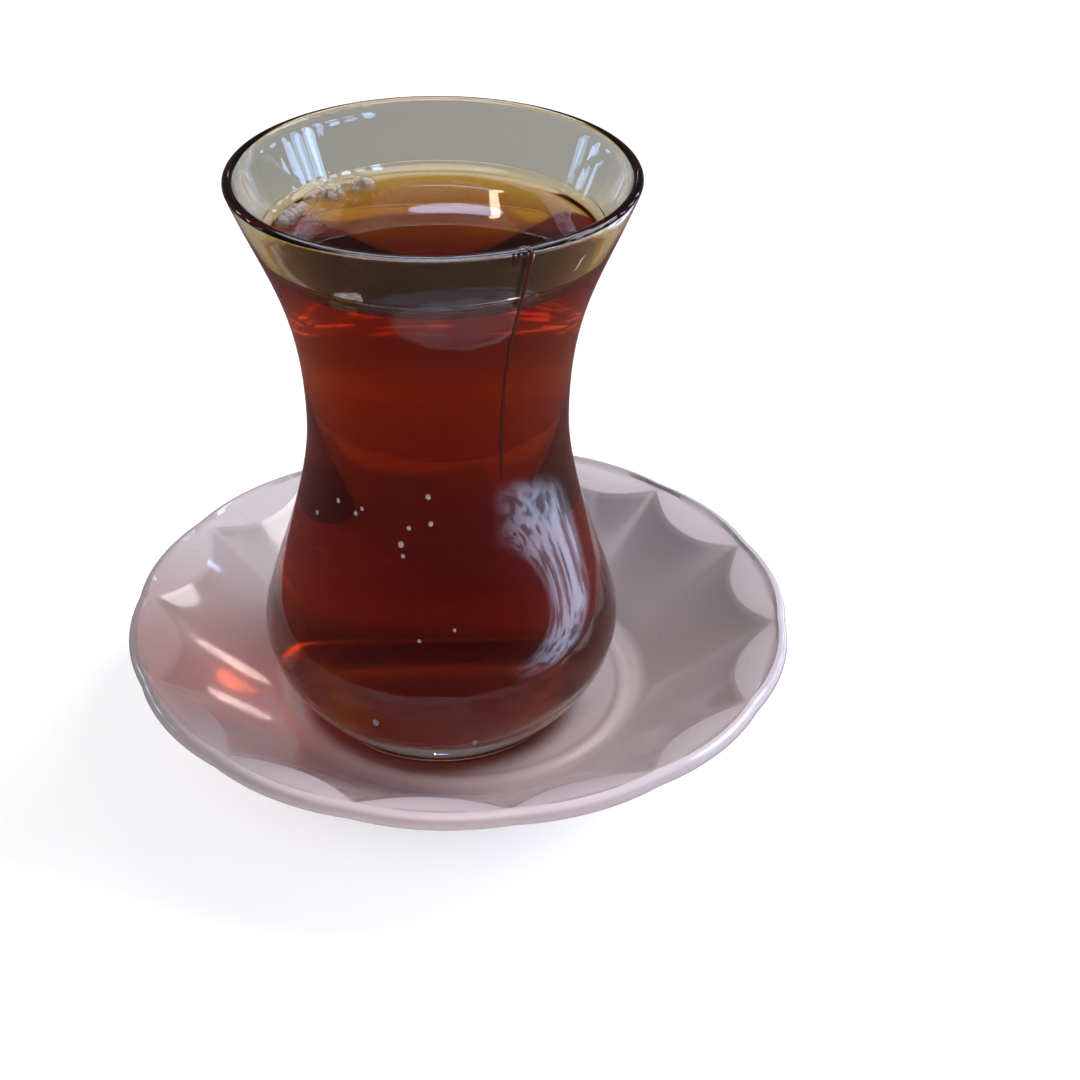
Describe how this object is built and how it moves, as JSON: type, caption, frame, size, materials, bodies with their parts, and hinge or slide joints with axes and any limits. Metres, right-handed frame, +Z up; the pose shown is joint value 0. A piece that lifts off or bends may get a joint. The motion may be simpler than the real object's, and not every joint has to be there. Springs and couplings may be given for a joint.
{
  "type": "turkish tea glass",
  "caption": "Tulip-shaped clear tea glass filled with black tea, standing on a small glazed saucer with a fluted well.",
  "frame": {"origin": "centre of the saucer's foot, on the surface that it stands on", "axes": "+Z up along the saucer's axis; -Y faces the viewer of the picture; the glass stands a few millimetres off the centre"},
  "size_m": [0.1, 0.1004, 0.0915],
  "materials": {
    "porcelain": "glossy glaze",
    "glass": "clear polished glass",
    "tea": "clear dark red-brown liquid"
  },
  "bodies": {
    "root": {"saucer": "porcelain", "tea_glass": "glass", "tea": "tea"}
  },
  "joints": []
}
